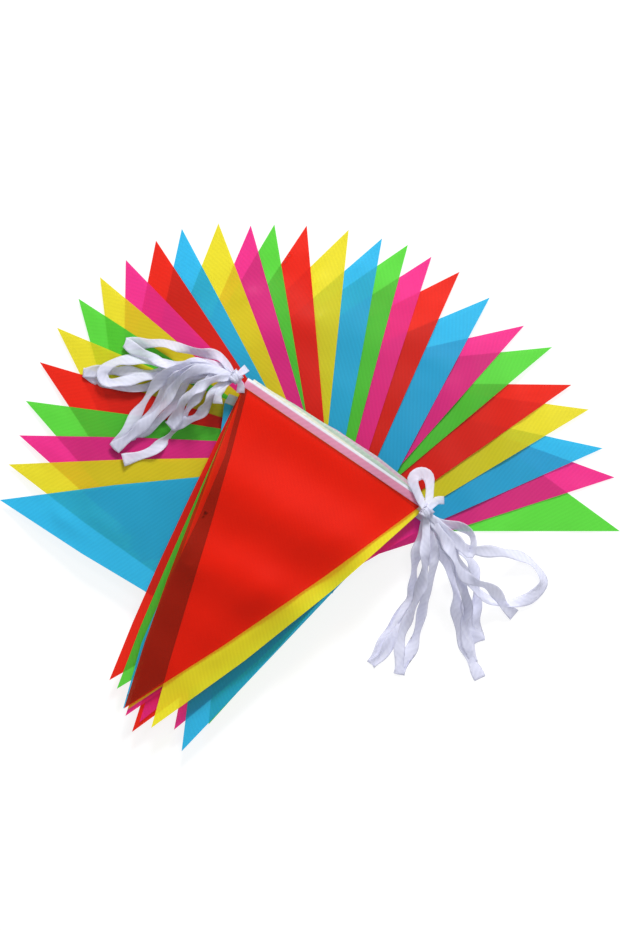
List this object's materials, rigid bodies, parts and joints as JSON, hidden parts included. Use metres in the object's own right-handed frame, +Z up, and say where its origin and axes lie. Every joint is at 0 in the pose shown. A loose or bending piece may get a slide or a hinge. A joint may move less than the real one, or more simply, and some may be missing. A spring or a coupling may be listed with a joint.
{
  "type": "fabric bunting",
  "caption": "Bunting of long cloth pennants on white tape, laid out flat: a folded stack of pennants in front, the rest spread in a fan, the spare tape tied in loops.",
  "frame": {"origin": "centre of the bounding box's base, on the surface that the bunting lies on", "axes": "+X to the right along the longest extent, +Y to the back of the fan, +Z up through the thickness of the pile"},
  "size_m": [0.576, 0.49, 0.0565],
  "materials": {
    "red": "thin plain-woven cloth with a slight sheen, lets light through",
    "yellow": "thin plain-woven cloth with a slight sheen, lets light through",
    "green": "thin plain-woven cloth with a slight sheen, lets light through",
    "blue": "thin plain-woven cloth with a slight sheen, lets light through",
    "pink": "thin plain-woven cloth with a slight sheen, lets light through",
    "white": "thin woven tape with a slight sheen, slightly see-through"
  },
  "bodies": {
    "root": {"fan_01_green": "green", "fan_02_pink": "pink", "fan_03_blue": "blue", "fan_04_yellow": "yellow", "fan_05_red": "red", "fan_06_green": "green", "fan_07_pink": "pink", "fan_08_blue": "blue", "fan_09_red": "red", "fan_10_pink": "pink", "fan_11_green": "green", "fan_12_blue": "blue", "fan_13_yellow": "yellow", "fan_14_red": "red", "fan_15_green": "green", "fan_16_pink": "pink", "fan_17_yellow": "yellow", "fan_18_blue": "blue", "fan_19_red": "red", "fan_20_pink": "pink", "fan_21_yellow": "yellow", "fan_22_green": "green", "fan_23_yellow": "yellow", "fan_24_red": "red", "fan_25_green": "green", "fan_26_pink": "pink", "fan_27_yellow": "yellow", "fan_28_blue": "blue", "stack_01_green": "green", "stack_02_pink": "pink", "stack_03_blue": "blue", "stack_04_red": "red", "stack_05_green": "green", "stack_06_red": "red", "stack_07_pink": "pink", "stack_08_pink": "pink", "stack_09_yellow": "yellow", "stack_10_blue": "blue", "stack_11_yellow": "yellow", "stack_12_red": "red", "tape_01": "white", "tape_02": "white", "tape_03": "white", "tape_04": "white", "tape_05": "white", "tape_06": "white", "tape_07": "white", "tape_08": "white", "tape_09": "white", "tape_10": "white", "tape_11": "white", "tape_12": "white", "tape_loops_left": "white", "tape_loops_right": "white", "tie_left": "white", "tie_right": "white"}
  },
  "joints": []
}
